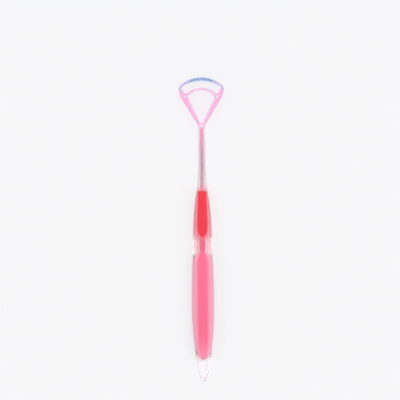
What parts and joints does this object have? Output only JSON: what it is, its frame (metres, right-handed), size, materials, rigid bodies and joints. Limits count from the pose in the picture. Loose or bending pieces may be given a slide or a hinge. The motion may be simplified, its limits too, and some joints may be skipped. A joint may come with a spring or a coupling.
{
  "type": "tongue scraper",
  "caption": "Clear hand tongue scraper with a fan-shaped open head, a slim neck and a soft pink grip with a ribbed red thumb pad.",
  "frame": {"origin": "on the surface that the tool lies on, under the middle of its length and width", "axes": "+Y towards the head, +Z out of the front, which the scraping edges and the thumb pad face, and +X to the right seen from the front with the head up"},
  "size_m": [0.0272, 0.1825, 0.0092],
  "materials": {
    "clear_plastic": "clear, polished, with a faint pink tint",
    "soft_pink": "translucent soft moulding, satin",
    "soft_red": "soft moulding, matt, ribbed lengthwise"
  },
  "bodies": {
    "root": {"scraper_head": "clear_plastic", "handle_core": "clear_plastic", "palm_grip": "soft_pink", "thumb_pad": "soft_red"}
  },
  "joints": []
}
